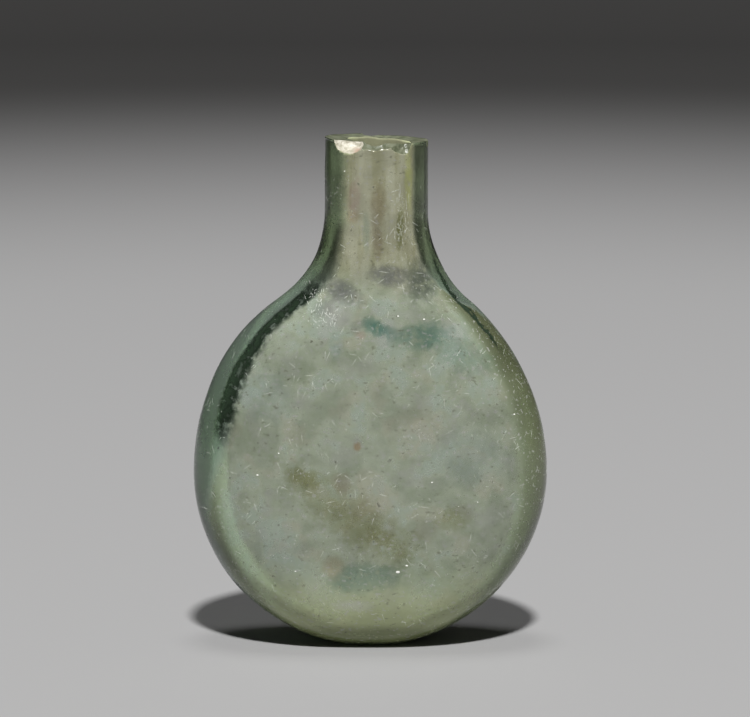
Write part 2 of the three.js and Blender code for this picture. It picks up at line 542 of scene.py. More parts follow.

# %% [markdown]
# ## Marks on the front
#
# The crust of the front has patches of its own: teal and olive ones on the body, grey-violet and
# grey-green ones on the shoulder that are painted dark reflections, brown and pink streaks on the
# neck, and a lime streak beside them that is a painted highlight. Each is a ragged oval, broken up
# by a fine noise. The back has none.

# %% Marks on the front
TEAL = rgb(0.1, 0.34, 0.27)
# the grey-violet and grey-green tones are painted dark reflections on the shoulder
GREY_VIOLET_REFLECTION = rgb(0.3, 0.31, 0.31)
GREY_GREEN_REFLECTION = rgb(0.24, 0.28, 0.22)
OLIVE = rgb(0.4, 0.42, 0.15)
TAN = rgb(0.68, 0.44, 0.2)
BROWN = rgb(0.4, 0.31, 0.15)
# the lime tone is a painted highlight on the right of the neck
LIME_HIGHLIGHT = rgb(0.95, 1.0, 0.42)
PINK = rgb(0.78, 0.52, 0.46)
SKY = rgb(0.62, 0.78, 0.73)
BEIGE = rgb(0.8, 0.7, 0.54)
WHITE = rgb(0.95, 0.95, 0.9)
FRONT_MARKS = [  # x, z, half width and half height in mm, turn in degrees, colour, strength
    (1.2, 44.7, 2.3, 1.1, -25, TEAL, 0.8),
    (7.0, 43.6, 4.5, 1.5, 4, TEAL, 0.55),
    (12.0, 41.2, 4.0, 2.2, -30, TEAL, 0.35),
    # painted dark reflections on the shoulder, in grey-violet and grey-green
    (-1.8, 45.0, 1.2, 0.8, 40, GREY_VIOLET_REFLECTION, 0.4),
    (-3.7, 49.4, 2.8, 1.3, -25, GREY_VIOLET_REFLECTION, 0.7),
    (-6.0, 47.4, 1.9, 1.1, 30, GREY_VIOLET_REFLECTION, 0.5),
    (2.6, 51.7, 2.6, 1.2, -10, GREY_VIOLET_REFLECTION, 0.65),
    (7.3, 51.0, 2.4, 2.6, 20, GREY_GREEN_REFLECTION, 0.8),
    (-4.4, 46.6, 2.0, 1.9, 20, WHITE, 0.5),
    (-1.2, 43.8, 0.7, 0.6, 0, PINK, 0.4),
    (-4.6, 42.6, 0.9, 1.6, 0, SKY, 0.5),
    (-1.7, 28.8, 0.5, 0.6, 0, TAN, 0.7),
    (-3.9, 23.7, 1.2, 1.3, 20, PINK, 0.25),
    (-8.4, 24.4, 2.6, 1.1, -15, OLIVE, 0.7),
    (-2.0, 19.0, 9.5, 3.1, -36, OLIVE, 0.6),
    (2.4, 15.5, 3.3, 1.5, -30, OLIVE, 0.75),
    (0.2, 21.3, 5.0, 2.4, -20, BEIGE, 0.2),
    (11.4, 18.9, 2.2, 1.5, 10, OLIVE, 0.55),
    (-5.0, 12.0, 1.4, 1.6, 0, TAN, 0.3),
    (-1.5, 10.4, 4.4, 1.9, 8, TEAL, 0.5),
    (7.6, 10.8, 4.2, 2.8, -20, TEAL, 0.15),
    (1.2, 61.6, 1.0, 2.6, 0, BROWN, 0.55),
    (1.0, 56.6, 0.6, 2.4, 4, BROWN, 0.5),
    (-2.2, 62.0, 0.8, 2.4, -8, PINK, 0.45),
    (-2.4, 59.4, 0.9, 0.8, 0, TAN, 0.35),
    (-0.5, 57.4, 0.45, 2.2, 0, TEAL, 0.3),
    # a painted highlight on the right of the neck
    (5.2, 64.6, 0.45, 4.2, 2, LIME_HIGHLIGHT, 1.0),
    (4.1, 58.4, 0.4, 3.4, -3, OLIVE, 0.9),
    (-2.5, 6.6, 2.6, 0.8, 0, WHITE, 0.5),
    (-15.0, 36.0, 3.0, 5.0, 60, SKY, 0.35),
    (13.0, 27.5, 3.5, 5.0, 70, SKY, 0.35),
    (-12.0, 14.0, 4.5, 3.0, -50, SKY, 0.25),
    (7.0, 31.0, 4.0, 3.0, 20, BEIGE, 0.25),
]
MARK_FADE = (1.9, 0)  # squared distances, in half sizes, between which a mark comes in
FRONT_FADE = (1 * MM, -1 * MM)  # depths between which what only the front has comes in


def front_spot(axes, ragged, x, z, wide, high, turn):
    """How much a ragged oval mark on the front covers a place, from 0 to 1."""
    across, deep, up = axes
    side, rise = (across - x * MM) / (wide * MM), (up - z * MM) / (high * MM)
    sine, cosine = math.sin(math.radians(turn)), math.cos(math.radians(turn))
    ratio = high / wide
    along = side * cosine + rise * (sine * ratio)
    over = rise * cosine - side * (sine / ratio)
    reach = along * along + over * over
    return (reach + ragged).mapped(*MARK_FADE) * deep.mapped(*FRONT_FADE)


def marked_skin(tree, colour, ragged, broken_up):
    """The colour with the marks of the front on it, each mark broken up by a fine noise."""
    axes = object_axes(tree)
    for x, z, wide, high, turn, tint, strength in FRONT_MARKS:
        spot = front_spot(axes, ragged, x, z, wide, high, turn)
        colour = blend(tree, spot * broken_up * strength, colour, tint)
    return colour


print(len(FRONT_MARKS), "marks on the front")

# %% [markdown]
# ## The weathered skin
#
# Old glass is see-through but not clean. One Principled shader passes most of the light and
# scatters the rest on a milky crust. The crust covers the faces and ends in a ragged line before
# the narrow edges, where the glass is clear. Painted shade lies beside it on the front: a dark band
# on the left shoulder and a thin dark line on the right. Low on the body the crust takes a
# yellow-green painted glow.
# An absorption inside the glass gives the green that deepens where the wall is thick or seen on
# edge. Roughness and a fine bump come from noise.

# %% Weathered glass
GLASS_BENDS = 1.5
GLASS_ABSORBS = rgb(0.12, 0.36, 0.05)
GLASS_DENSITY = 105.0
NECK_TURN = (44 * MM, 54 * MM)  # heights between which the crust's outline turns to the neck's
SOFT_TURN = (47 * MM, 56 * MM)
LEFT_TURN = (16 * MM, 30 * MM)
BAND_STARTS, BAND_ENDS = (26 * MM, 34 * MM), (54 * MM, 46 * MM)
LINE_STARTS, LINE_ENDS = (39 * MM, 44 * MM), (55 * MM, 52 * MM)
CRUST_SHADE, CRUST_LIGHT = rgb(0.74, 0.84, 0.61), rgb(0.8, 0.89, 0.68)
NECK_SHADE, NECK_LIGHT = rgb(0.76, 0.74, 0.44), rgb(1.0, 0.99, 0.7)
MOSS = rgb(0.56, 0.7, 0.44)
# painted glow: the yellow-green of light gathered in the thick base
LOW_GLOW_LIME = rgb(0.8, 0.88, 0.46)
BASE_GREEN = rgb(0.3, 0.36, 0.14)
EDGE_GREEN = rgb(0.26, 0.31, 0.18)
RIGHT_GREEN = rgb(0.24, 0.26, 0.13)
RIGHT_DARK = rgb(0.1, 0.11, 0.05)
DARK_SPECK, DUST = rgb(0.16, 0.15, 0.1), rgb(0.3, 0.3, 0.2)
CLEAR_BODY, CLEAR_NECK = rgb(0.72, 0.88, 0.76), rgb(0.62, 0.68, 0.48)
# painted shade: the colour of the dark band and line beside the crust's edges
PAINTED_BAND_SHADE = rgb(0.03, 0.05, 0.03)


def glass_material(name, **values):
    """A glass whose green deepens with the way through it."""
    made, tree, shader = new_material(name, IOR=GLASS_BENDS, **values)
    absorption = add(tree, "ShaderNodeVolumeAbsorption", Color=GLASS_ABSORBS, Density=GLASS_DENSITY)
    tree.links.new(absorption.outputs[0], tree.nodes["Material Output"].inputs["Volume"])
    return made, tree, shader


def crust_cover(tree, ragged):
    """How far the milky crust covers a place, and the painted shade beside its edges on the front."""
    _, deep, up = object_axes(tree)
    across = ring_side(tree) + ragged * 0.022
    left = up.mapped(*LEFT_TURN, 0, 0.17) + up.mapped(*NECK_TURN, 0, 0.2) - 0.95
    right = up.mapped(*NECK_TURN, 1.02, 0.69)
    soft = up.mapped(*SOFT_TURN, 0, 0.15)
    cover = across.mapped(left - soft - 0.03, left + 0.09)
    cover = cover * across.mapped(right + soft * 0.3 + 0.03, right - 0.03)
    # painted shade: a dark band beside the crust's left edge and a thin dark line near its right edge,
    # standing in for the dark that the hollow's edge shows through the wall
    band = across.mapped(-0.89, -0.83) * across.mapped(left + 0.13, left - 0.04)
    band = band * up.mapped(*BAND_STARTS) * up.mapped(*BAND_ENDS, 0, 0.9)
    line = across.mapped(0.86, 0.9) * across.mapped(0.945, 0.905) * up.mapped(*LINE_STARTS)
    dark = band + line * up.mapped(*LINE_ENDS) * 0.8
    return cover, dark * deep.mapped(*FRONT_FADE)


glass, tree, shader = glass_material("weathered_glass")
_, _, up = object_axes(tree)
coarse = cloud(tree, 190, detail=3, rough=0.55, seed=2)
other = cloud(tree, 230, detail=3, rough=0.55, seed=3)
fine = cloud(tree, 1100, detail=3, rough=0.55, seed=4)
specks = cloud(tree, 2300, stretch=(0.6, 1, 1), detail=2, seed=7)
streaks = cloud(tree, 620, stretch=(1, 1, 0.09), detail=4, rough=0.6, seed=6)
ragged = (coarse + fine - 1) * 3.2
cover, painted_dark_band = crust_cover(tree, ragged)
painted_dark_band = painted_dark_band * fine.mapped(0.66, 0.46, 0.45, 0.92)
low = up.mapped(15 * MM, 3 * MM)
neck = up.mapped(48 * MM, 55 * MM)
edge = ring_side(tree).math("ABSOLUTE")
right_side = ring_side(tree).mapped(0.72, 0.97)

crust = blend(tree, fine.mapped(0.35, 0.65), CRUST_SHADE, CRUST_LIGHT)
marks_and_glow_under = [
    (coarse.mapped(0.52, 0.62) * 0.32, SKY),
    (coarse.mapped(0.48, 0.38) * 0.24, MOSS),
    (other.mapped(0.54, 0.64) * 0.25, BEIGE),
    (other.mapped(0.46, 0.36) * 0.25, WHITE),
    # painted glow low on the body
    (low * 0.8, LOW_GLOW_LIME),
    (up.mapped(4 * MM, 1.8 * MM) * 0.75, BASE_GREEN),
    (edge.mapped(0.66, 0.84) * 0.9, EDGE_GREEN),
    (right_side * up.mapped(10 * MM, 26 * MM) * 0.6, RIGHT_GREEN),
    (right_side * up.mapped(31 * MM, 41 * MM) * 0.7, RIGHT_DARK),
    (neck * 0.85, blend(tree, streaks.mapped(0.38, 0.6), NECK_SHADE, NECK_LIGHT)),
]
over_marks = [
    (fine.mapped(0.7, 0.74) * 0.7, DARK_SPECK),
    (specks.mapped(0.36, 0.3) * 0.5, DUST),
    (specks.mapped(0.62, 0.68) * 0.5, WHITE),
]
crust = layered(tree, crust, marks_and_glow_under)
crust = marked_skin(tree, crust, ragged, fine.mapped(0.3, 0.6, 0.5, 1.1))
crust = layered(tree, crust, over_marks)
colour = blend(tree, cover, blend(tree, neck, CLEAR_BODY, CLEAR_NECK), crust)
# paints the shade of the dark band and line into the colour
colour = blend(tree, painted_dark_band.mapped(0, 0.6), colour, PAINTED_BAND_SHADE)
put(tree, colour, shader.inputs["Base Color"])

patches = coarse * 0.7 + other * 0.3
milky = patches.mapped(0.38, 0.62, 0.23, 0.31) + low * 0.2 + edge.mapped(0.68, 0.8) * 0.15
bare = cover * -0.09 + neck * -0.08 + 0.09  # the little milk of the glass beside the crust
milk_share = cover * milky + bare.math("MAXIMUM", 0) + painted_dark_band.mapped(0.4, 1) * 0.6
put(tree, milk_share * -1 + 1, shader.inputs["Transmission Weight"])
put(tree, (coarse * 0.5 + fine * 0.5).mapped(0.35, 0.65, 0.07, 0.3), shader.inputs["Roughness"])
bumped(tree, shader, fine, 0.1, 0.1 * MM)
print("Skin of the glass:", glass.name)

# %% [markdown]
# ## Clear and broken glass
#
# The inside of the wall and the bubbles are smooth and clear. The chips show what is under the
# skin: the large one at the left of the front has dried to a chalky white that is tan at its left
# end, and the others and the rim's own face are rough green glass.

# %% Clear and broken glass
CLEAR = rgb(0.92, 0.96, 0.9)
CHALK_SHADE, CHALK_LIGHT, CHALK_TAN = rgb(0.3, 0.28, 0.2), rgb(0.66, 0.63, 0.54), rgb(0.36, 0.26, 0.19)
BREAK_SHADE, BREAK_LIGHT = rgb(0.2, 0.23, 0.13), rgb(0.44, 0.47, 0.32)
BREAK_DEPTH = 0.3 * MM
TAN_RAGGED = 1 * MM
CLEAR_VALUES = {"Base_Color": CLEAR, "Transmission_Weight": 1.0, "Roughness": 0.06}

inner_glass, _, _ = glass_material("inner_glass", **CLEAR_VALUES)
bubble_wall, _, _ = glass_material("bubble_wall", **CLEAR_VALUES)

chalky, tree, shader = glass_material("chalky_break", Transmission_Weight=0.1, Roughness=0.5)
grain = cloud(tree, 1500, detail=5, rough=0.65, seed=4)
across, _, up = object_axes(tree)
tan_side = (across + (grain - 0.5) * TAN_RAGGED).mapped(-2.6 * MM, -1.6 * MM)
tan_side = tan_side * up.mapped(68.9 * MM, 68.3 * MM)
chalk = blend(tree, grain.mapped(0.3, 0.7), CHALK_SHADE, CHALK_LIGHT)
put(tree, blend(tree, tan_side, chalk, CHALK_TAN), shader.inputs["Base Color"])
bumped(tree, shader, grain, 0.6, BREAK_DEPTH)

broken, tree, shader = glass_material("broken_glass", Transmission_Weight=0.65, Roughness=0.3)
grain = cloud(tree, 900, detail=5, seed=5)
green = blend(tree, grain.mapped(0.3, 0.7), BREAK_SHADE, BREAK_LIGHT)
put(tree, green, shader.inputs["Base Color"])
bumped(tree, shader, grain, 0.5, BREAK_DEPTH)
print("Clear and broken:", inner_glass.name, bubble_wall.name, chalky.name, broken.name)

# %% [markdown]
# ## Small things strewn over a skin
#
# Bubbles, soil and scratches are all made in this way. Points are strewn at random over a skin, a
# small shape is set on each, and the shapes become plain mesh with one material.

# %% Strewing
def smoothed(tree, geometry):
    """The geometry with soft shading."""
    return add(tree, "GeometryNodeSetShadeSmooth", Geometry=geometry).outputs[0]


def with_material(tree, geometry, finish, **chosen):
    """The geometry, or the chosen faces of it, in one material."""
    return add(tree, "GeometryNodeSetMaterial", Geometry=geometry, Material=finish, **chosen).outputs[0]


def facing_out(tree):
    """More than 0 on the outer skin and less on the inner one."""
    place = add(tree, "GeometryNodeInputPosition").outputs[0]
    level = add(tree, "ShaderNodeVectorMath", {"operation": "MULTIPLY"})
    put(tree, place, level.inputs[0])
    put(tree, (1, 1, 0), level.inputs[1])
    dot = add(tree, "ShaderNodeVectorMath", {"operation": "DOT_PRODUCT"})
    put(tree, level.outputs[0], dot.inputs[0])
    put(tree, normal(tree), dot.inputs[1])
    return Field(tree, dot.outputs["Value"])


def random_number(tree, low, high, seed):
    """A random number for each point or instance."""
    node = add(tree, "FunctionNodeRandomValue", {"data_type": "FLOAT"}, Seed=seed)
    inputs = {socket.identifier: socket for socket in node.inputs}
    put(tree, low, inputs["Min_001"])
    put(tree, high, inputs["Max_001"])
    return Field(tree, node.outputs[1])


def strewn_points(tree, skin, chosen, density, seed):
    """Points at random places on the chosen faces, and how the skin lies at each."""
    kind = "GeometryNodeDistributePointsOnFaces"
    strewn = add(tree, kind, Mesh=skin, Selection=chosen, Density=density, Seed=seed)
    return strewn.outputs["Points"], strewn.outputs["Normal"], strewn.outputs["Rotation"]


def set_on_points(tree, points, lie, roundness, size, turn=0.0):
    """A small ball on each point, sized along, across and out of the skin, and turned on it."""
    ball = add(tree, "GeometryNodeMeshIcoSphere", Radius=1.0, Subdivisions=roundness)
    placed = add(
        tree,
        "GeometryNodeInstanceOnPoints",
        Points=points,
        Instance=ball.outputs["Mesh"],
        Rotation=lie,
        Scale=add(tree, "ShaderNodeCombineXYZ", X=size[0], Y=size[1], Z=size[2]).outputs[0],
    ).outputs[0]
    turns = add(tree, "ShaderNodeCombineXYZ", Z=turn).outputs[0]
    return add(tree, "GeometryNodeRotateInstances", Instances=placed, Rotation=turns).outputs[0]


def solid_pieces(tree, instances, finish, hollow=False):
    """Instances as plain smooth mesh with one material. Where it is hollow the faces point in."""
    real = add(tree, "GeometryNodeRealizeInstances", Geometry=instances).outputs[0]
    if hollow:
        real = add(tree, "GeometryNodeFlipFaces", Mesh=real).outputs[0]
    return with_material(tree, smoothed(tree, real), finish)


print("Strewing nodes ready")

# %% [markdown]
# ## The glass itself
#
# Two uneven pushes along the normal give the skin its hand-blown look: a broad swell over the
# body, and upright tool marks on the neck. Both only push inwards, so the flask stays inside its
# size. Egg-shaped cutters then bite the chips out of the rim, with the ripples of broken glass.
# The rim's own face is broken glass too, where the flask came off the iron. Tiny round bubbles
# hang in the wall.

# %% Glass tree
CHIPS = [  # bearing from +X, depth under the outer skin, height above the rim, radii, finish
    (237, 0.4, 0.5, (2.8, 2.7, 2.45), chalky),
    (268, 1.0, 0.6, (3.8, 2.6, 1.95), broken),
    (299, -0.7, 0.5, (2.3, 1.8, 2.4), broken),
    (352, -0.55, 0.4, (1.5, 1.0, 1.9), broken),
    (95, 0.4, 0.75, (1.8, 1.7, 1.3), broken),
]
SWELL = 0.16 * MM
TOOL_MARK = 0.07 * MM
CHIP_RIPPLE = 0.25 * MM
SWELL_BUMPS, TOOL_MARK_BUMPS, CHIP_BUMPS = 75, 420, 700  # for each metre
SWELL_STARTS = (0.3 * MM, 5 * MM)
TOOL_MARKS_START = (44 * MM, 56 * MM)
CUTTER_STEPS = {"Segments": 64, "Rings": 40}
RIM_FACE = 66 * MM  # faces above this that look up are the rim's own
BUBBLE_TOP = 64 * MM
BUBBLE_DENSITY = 22000.0  # for each square metre of the outer skin
BUBBLE_DEPTH = (-1.1 * MM, -0.6 * MM)
BUBBLE_RADIUS = (0.04 * MM, 0.15 * MM)
BUBBLE_LENGTH = 1.6  # a bubble is this much longer than it is wide


def rim_drop(angle):
    """How far the rim lies below the flask's height at an angle."""
    slant = RIM_FALL * (1 + math.cos(angle)) / 2
    waves = 2
    for turns, phase in RIM_WAVES:
        waves += math.sin(turns * angle + phase)
    return slant + RIM_WAVER * waves / 4


def chip_cutter(tree, bearing, inside, above, size, finish, seed):
    """An egg at the rim whose rippled skin becomes the broken face of a chip."""
    angle = math.radians(bearing)
    radius = NECK_RADIUS - inside * MM
    egg = add(tree, "GeometryNodeMeshUVSphere", Radius=1.0, **CUTTER_STEPS)
    placed = add(tree, "GeometryNodeTransform", Geometry=egg.outputs["Mesh"])
    placed.inputs["Scale"].default_value = (size[1] * MM, size[0] * MM, size[2] * MM)
    placed.inputs["Rotation"].default_value = (0, 0, angle)
    placed.inputs["Translation"].default_value = (
        NECK_OFFSET + radius * math.cos(angle),
        radius * math.sin(angle),
        FLASK_HEIGHT - rim_drop(angle) + above * MM,
    )
    ripple = noise(tree, CHIP_BUMPS, detail=3, seed=seed).mapped(0.3, 0.7) * -CHIP_RIPPLE
    return with_material(tree, push(tree, placed.outputs[0], ripple), finish)


def bubbles(tree, geometry):
    """Tiny round holes in the wall, left by gas in the melt."""
    height = position(tree)[2]
    wanted = (facing_out(tree) > 0) * (height < BUBBLE_TOP)
    points, out, lie = strewn_points(tree, geometry, wanted, BUBBLE_DENSITY, 31)
    depth = random_number(tree, *BUBBLE_DEPTH, 32)
    inward = add(tree, "ShaderNodeVectorMath", {"operation": "SCALE"}, Scale=depth)
    put(tree, out, inward.inputs[0])
    sunk = add(tree, "GeometryNodeSetPosition", Geometry=points, Offset=inward.outputs[0]).outputs[0]
    size = random_number(tree, *BUBBLE_RADIUS, 33)
    balls = set_on_points(tree, sunk, lie, 2, (size, size * BUBBLE_LENGTH, size))
    return solid_pieces(tree, balls, bubble_wall, hollow=True)


tree, inputs, result = new_tree("glass_flask_tree", SKIN_SOCKETS)
height = position(tree)[2]
smooth = smoothed(tree, bend_grid(tree, inputs))
swell = noise(tree, SWELL_BUMPS, detail=1, seed=5).mapped(0.3, 0.7) * height.mapped(*SWELL_STARTS)
swollen = push(tree, smooth, swell * -SWELL)
marks = noise(tree, TOOL_MARK_BUMPS, stretch=(1, 1, 0.05), detail=2, seed=6).mapped(0.3, 0.7)
marked = push(tree, swollen, marks * height.mapped(*TOOL_MARKS_START) * -TOOL_MARK)

lined = with_material(tree, marked, inner_glass)
outside = facing_out(tree) > 0
crusted = with_material(tree, lined, glass, Selection=outside)
upwards = three_parts(tree, normal(tree))[2]
rim_face = (upwards > 0.5) * (height > RIM_FACE)
coated = with_material(tree, crusted, broken, Selection=rim_face)

chipped = add(tree, "GeometryNodeMeshBoolean", {"operation": "DIFFERENCE", "solver": "MANIFOLD"})
put(tree, coated, chipped.inputs["Mesh 1"])
for number, chip in enumerate(CHIPS):
    put(tree, chip_cutter(tree, *chip, seed=10.0 + number), chipped.inputs["Mesh 2"])

whole = add(tree, "GeometryNodeJoinGeometry")
put(tree, bubbles(tree, marked), whole.inputs[0])
put(tree, chipped.outputs["Mesh"], whole.inputs[0])
put(tree, whole.outputs[0], result)
print(len(CHIPS), "chips in the rim")

# %% [markdown]
# ## From tree to piece
#
# Each tree runs on its rail or skin, and what it makes is kept as a plain mesh at the origin.

# %% Pieces
def drop_empty_slots(mesh):
    """Keeps only the material slots that faces use."""
    slots = [face.material_index for face in mesh.polygons]
    used = sorted(set(slots))
    kept = [mesh.materials[i] for i in used]
    mesh.materials.clear()
    for material in kept:
        mesh.materials.append(material)
    mesh.polygons.foreach_set("material_index", [used.index(slot) for slot in slots])


def run_tree(name, source, tree, values=None):
    """Runs a tree on an object once and returns the plain mesh as a new object at the origin."""
    modifier = source.modifiers.new(tree.name, "NODES")
    modifier.node_group = tree
    for label, value in (values or {}).items():
        modifier[tree.interface.items_tree[label].identifier] = value
    bpy.context.view_layer.update()
    graph = bpy.context.evaluated_depsgraph_get()
    mesh = bpy.data.meshes.new_from_object(source.evaluated_get(graph))
    mesh.name = name
    drop_empty_slots(mesh)
    source.modifiers.remove(modifier)
    return in_scene(name, mesh)


def finish_piece(piece):
    """Makes the piece ride on the flask's body, and says what it holds."""
    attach(piece, "root")
    triangles = sum(len(face.vertices) - 2 for face in piece.data.polygons)
    volume = bmesh.new()
    volume.from_mesh(piece.data)
    print(piece.name, "holds", round(volume.calc_volume(signed=True) / MM**3, 1), "cubic mm")
    volume.free()
    print(piece.name, "has", triangles, "triangles in", [finish.name for finish in piece.data.materials])


rail = rail_object("glass_rail", flask_rows)
flask = run_tree("flask", rail, tree)
bpy.data.objects.remove(rail)
finish_piece(flask)
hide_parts("glass_flask")

# %% [markdown]
# ## The milky film
#
# Inside, the glass has weathered to a thin cloudy film that is not in touch with the clear glass.
# It is made as a thin closed skin just inside the hollow, see-through by an uneven amount, and has
# broken away under the large chips at the front of the rim. Its colour carries painted shade at the
# back of the mouth and on its sides in the neck, and a yellow-green painted glow at its bottom.

# %% Film
FILM_GAP = 0.05 * MM
FILM_THICKNESS = 0.03 * MM
FILM_TOP = 69.65 * MM
FILM_START = 0.4 * MM  # above the bottom of the hollow
FILM_SHADE, FILM_LIGHT = rgb(0.8, 0.82, 0.72), rgb(0.93, 0.93, 0.86)
# the low film colour is a painted yellow-green glow at the bottom
FILM_LOW_GLOW, FILM_NECK = rgb(0.84, 0.9, 0.5), rgb(0.92, 0.86, 0.66)
# painted shade: the film darker at the back of the mouth and on its sides in the neck
PAINTED_MOUTH_SHADE, PAINTED_LIMB_SHADE = rgb(0.19, 0.2, 0.11), rgb(0.5, 0.53, 0.32)


def film_rail():
    """Up the film's outer side and down its inner side."""
    heights = [z for z in row_heights(inner, FILM_TOP) if z > BASE_WALL + FILM_START]
    outside = [ring(inner, z, FILM_GAP) for z in heights]
    inside = [ring(inner, z, FILM_GAP + FILM_THICKNESS) for z in heights]
    start = (0, 0, outside[0][2], ELLIPSE, HOLLOW_SHIFT)
    end = (0, 0, outside[0][2] + FILM_THICKNESS, ELLIPSE, HOLLOW_SHIFT)
    return [start] + outside + inside[::-1] + [end]


film, tree, shader = new_material("milky_film", Roughness=0.85, IOR=1.3)
_, deep, up = object_axes(tree)
mottle = cloud(tree, 200, detail=4, rough=0.6, seed=21)
# painted shade at the back of the mouth
painted_mouth_shade_mask = up.mapped(63 * MM, 66 * MM) * deep.mapped(-2 * MM, 2 * MM)
# painted shade on the film's sides in the neck, standing in for the dark that the glass edges show
painted_limb_shade_mask = ring_side(tree).math("ABSOLUTE").mapped(0.6, 0.98) * up.mapped(46 * MM, 53 * MM)
milk = layered(
    tree,
    blend(tree, mottle.mapped(0.35, 0.65), FILM_SHADE, FILM_LIGHT),
    [
        (up.mapped(9 * MM, 4 * MM) * 0.7, FILM_LOW_GLOW),
        (up.mapped(50 * MM, 57 * MM) * 0.8, FILM_NECK),
        (painted_mouth_shade_mask * 0.9, PAINTED_MOUTH_SHADE),
        (painted_limb_shade_mask, PAINTED_LIMB_SHADE),
    ],
)
put(tree, milk, shader.inputs["Base Color"])
broken_away = up.mapped(66.9 * MM, 67.6 * MM) * deep.mapped(0, -2 * MM)
put(tree, mottle.mapped(0.3, 0.7, 0.6, 0.95) * (broken_away * -1 + 1), shader.inputs["Alpha"])

tree, inputs, result = new_tree("film_tree", SKIN_SOCKETS)
put(tree, with_material(tree, smoothed(tree, bend_grid(tree, inputs)), film), result)
rail = rail_object("film_rail", film_rail())
lining = run_tree("milky_film", rail, tree)
bpy.data.objects.remove(rail)
finish_piece(lining)

# %% [markdown]
# ## Soil
#
# Damp earth dried on the film low in the front of the body. It could be painted on, but its lumps
# catch the light. Flat little grains are strewn on the film where a few ragged ovals lie, with a
# thin scatter over the front of the body, and each takes a dark or a pale tone from its place.

# %% Soil
SOIL_PATCHES = [  # x, z, half width and half height in mm, turn in degrees, amount
    (-2.2, 19.4, 9.6, 2.3, -36, 1.0),
    (2.6, 15.2, 3.4, 1.5, -30, 1.0),
    (-8.2, 23.6, 2.4, 0.9, -15, 0.8),
    (10.8, 19.0, 2.0, 1.2, 10, 0.7),
    (-14.5, 12.0, 4.0, 1.3, -35, 0.3),
    (0.0, 25.0, 19.0, 19.0, 0, 0.015),
]
SOIL_SOCKETS = {
    "Density": 3.5e6,  # for each square metre, where the soil is thickest
    "Smallest": 0.09 * MM,
    "Largest": 0.55 * MM,
    "Thickness": 0.03 * MM,
}
SOIL_DARK, SOIL_PALE = rgb(0.05, 0.055, 0.02), rgb(0.6, 0.57, 0.33)
SOIL_BUMPS = 700  # for each metre, of the noise that frays the patches
SOIL_RAGGED = 4
NARROWEST_GRAIN = 0.6  # its width over its length

earth, tree, shader = new_material("dry_earth", Roughness=0.9, Specular_IOR_Level=0.2)
tone = cloud(tree, 2400, detail=2, seed=41)
put(tree, blend(tree, tone.mapped(0.45, 0.6), SOIL_DARK, SOIL_PALE), shader.inputs["Base Color"])

tree, inputs, result = new_tree("soil_tree", SOIL_SOCKETS)
place = position(tree)
ragged_edge = (noise(tree, SOIL_BUMPS, detail=4, seed=42) - 0.5) * SOIL_RAGGED
amount = place[0] * 0  # none yet, everywhere
for *patch, share in SOIL_PATCHES:
    amount = amount.math("MAXIMUM", front_spot(place, ragged_edge, *patch) * share)
outside = facing_out(tree) > 0
points, _, lie = strewn_points(tree, inputs["Geometry"], outside, amount * inputs["Density"], 43)
spread = Field(tree, inputs["Largest"]) - inputs["Smallest"]
length = random_number(tree, 0, 1, 44) ** 2 * spread + inputs["Smallest"]
width = length * random_number(tree, NARROWEST_GRAIN, 1, 45)
size = (length, width, inputs["Thickness"])
grains = set_on_points(tree, points, lie, 1, size, random_number(tree, 0, math.pi, 46))
put(tree, solid_pieces(tree, grains, earth), result)
finish_piece(run_tree("soil", lining, tree))

# %% [markdown]
# ## Scratches and flakes
#
# Fine scratches cross the whole skin in loose clusters. A patch of crinkled white flakes lies on
# the left shoulder, and the right of the neck has upright ones. Each is a thin pointed sliver that
# lies on the glass. One tree strews them, and its named inputs say where, how many, how long and
# which way.

# %% Sliver tree
SLIVER_SOCKETS = {
    "Left": -1.0,
    "Right": 1.0,
    "Low": 0.0,
    "High": 65 * MM,
    "Behind": 1.0,
    "Density": 0.7e6,
    "Shortest": 0.07 * MM,  # half lengths
    "Longest": 0.9 * MM,
    "Half Width": 0.022 * MM,
    "First Turn": 0.0,
    "Last Turn": math.pi,
    "Seed": 51,
}
WORN_WHITE = rgb(0.85, 0.88, 0.8)
SLIVER_THICKNESS = 0.006 * MM
CLUSTER_BUMPS = 260  # for each metre

worn_white, _, _ = new_material("worn_white", Base_Color=WORN_WHITE, Roughness=0.5, Alpha=0.7)

tree, inputs, result = new_tree("sliver_tree", SLIVER_SOCKETS)
x, y, z = position(tree)
here = (x > inputs["Left"]) * (x < inputs["Right"]) * (y < inputs["Behind"])
here = here * (z > inputs["Low"]) * (z < inputs["High"])
of_skin = add(tree, "GeometryNodeMaterialSelection", Material=glass)
clusters = noise(tree, CLUSTER_BUMPS, detail=3, seed=50).mapped(0.42, 0.62)
chosen, density = here * of_skin.outputs[0], clusters * inputs["Density"]
points, _, lie = strewn_points(tree, inputs["Geometry"], chosen, density, inputs["Seed"])
spread = Field(tree, inputs["Longest"]) - inputs["Shortest"]
half_length = random_number(tree, 0, 1, 52) ** 3 * spread + inputs["Shortest"]
size = (half_length, inputs["Half Width"], SLIVER_THICKNESS)
turn = random_number(tree, inputs["First Turn"], inputs["Last Turn"], 53)
slivers = set_on_points(tree, points, lie, 1, size, turn)
put(tree, solid_pieces(tree, slivers, worn_white), result)
print("Sliver tree:", len(SLIVER_SOCKETS), "named inputs")

